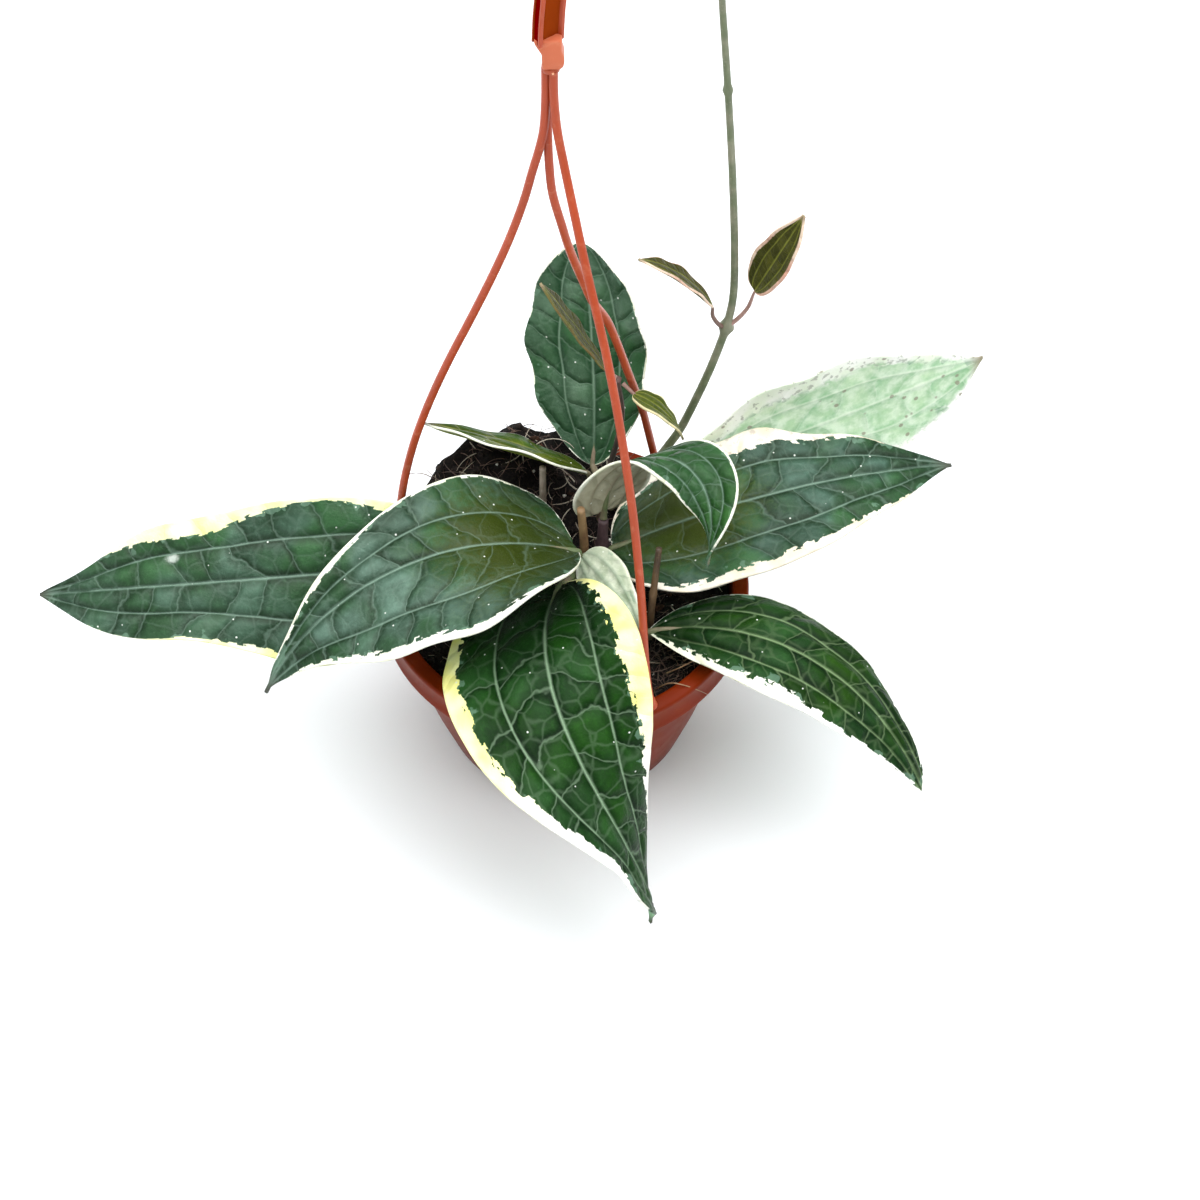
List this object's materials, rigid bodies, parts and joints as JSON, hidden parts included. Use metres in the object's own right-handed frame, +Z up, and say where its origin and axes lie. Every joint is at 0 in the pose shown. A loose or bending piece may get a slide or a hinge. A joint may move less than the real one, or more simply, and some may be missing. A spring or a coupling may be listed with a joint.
{
  "type": "potted trailing plant",
  "caption": "Potted hoya vine with broad cream-edged, net-veined leaves, rooted in dark potting mix in a small round plastic pot with a clip-on hanger and hook.",
  "frame": {"origin": "middle of the pot's flat base, on the surface it stands on", "axes": "+Z up through the pot and its hanger, +X to the right and -Y towards the viewer of the front view"},
  "size_m": [0.31, 0.1901, 0.3722],
  "materials": {
    "pot_plastic": "satin terracotta-brown moulded plastic",
    "hanger_plastic": "smooth salmon-red moulded plastic, slightly translucent",
    "potting_mix": "loose moist peat and bark fibre",
    "variegated_leaf": "waxy dark green, pale net veins, jagged cream margin",
    "pale_leaf": "matt pale green underside with cream margin",
    "new_leaf": "olive-brown young leaf with pink-cream edge",
    "green_stem": "smooth grey-green vine",
    "brown_stem": "dull brown stem and leaf stalk",
    "dry_stem": "dry cut stem, pale at the end"
  },
  "bodies": {
    "root": {"pot": "pot_plastic", "soil": "potting_mix", "hanger_arms": "hanger_plastic", "hanger_hook": "hanger_plastic", "stem_front": "brown_stem", "stem_middle": "brown_stem", "stem_rear": "brown_stem", "young_shoot": "brown_stem", "climbing_stem": "green_stem", "cut_stem_right": "dry_stem", "dry_stem_left": "dry_stem", "leaf_left_rear": "variegated_leaf", "leaf_left_front": "variegated_leaf", "leaf_front": "variegated_leaf", "leaf_right_front": "variegated_leaf", "leaf_right": "variegated_leaf", "leaf_right_rear": "pale_leaf", "leaf_rear_upright": "variegated_leaf", "leaf_rear_left": "variegated_leaf", "leaf_twisted": "variegated_leaf", "leaf_small_pale": "pale_leaf", "new_leaf_vine_left": "new_leaf", "new_leaf_vine_right": "new_leaf", "new_leaf_shoot_left": "new_leaf", "new_leaf_shoot_right": "new_leaf"}
  },
  "joints": []
}
